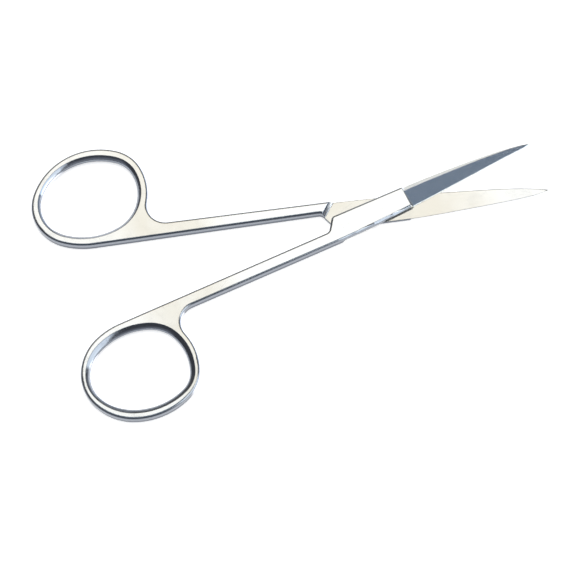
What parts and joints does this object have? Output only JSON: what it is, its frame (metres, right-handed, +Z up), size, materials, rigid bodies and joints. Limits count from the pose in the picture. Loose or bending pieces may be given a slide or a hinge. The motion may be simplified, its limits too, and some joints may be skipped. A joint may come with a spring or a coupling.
{
  "type": "iris scissors",
  "caption": "Small straight surgical scissors with oval finger rings, slim ground blades with sharp points, and a screw-held lap joint.",
  "frame": {"origin": "on the pivot axis, in the flat surface that the scissors lie on", "axes": "+X from the pivot towards the points, along the line halfway between the open blades; +Z up, along the pivot axis, out of the face that shows the front half; +Y to the side of the rear half's finger ring"},
  "size_m": [0.1123, 0.0652, 0.0024],
  "materials": {
    "forged_steel": "polished stainless steel, finely ground along the shanks and across the blades",
    "screw_steel": "turned stainless steel, threaded end ground flush"
  },
  "bodies": {
    "rear": {"rear_half": "forged_steel"},
    "front": {"front_half": "forged_steel", "pivot_screw": "screw_steel"}
  },
  "joints": [
    {"name": "pivot", "type": "hinge", "parent": "rear", "child": "front", "pos_m": [0, 0, 0.0012], "axis": [0, 0, 1], "range_deg": [-17, 110]}
  ]
}
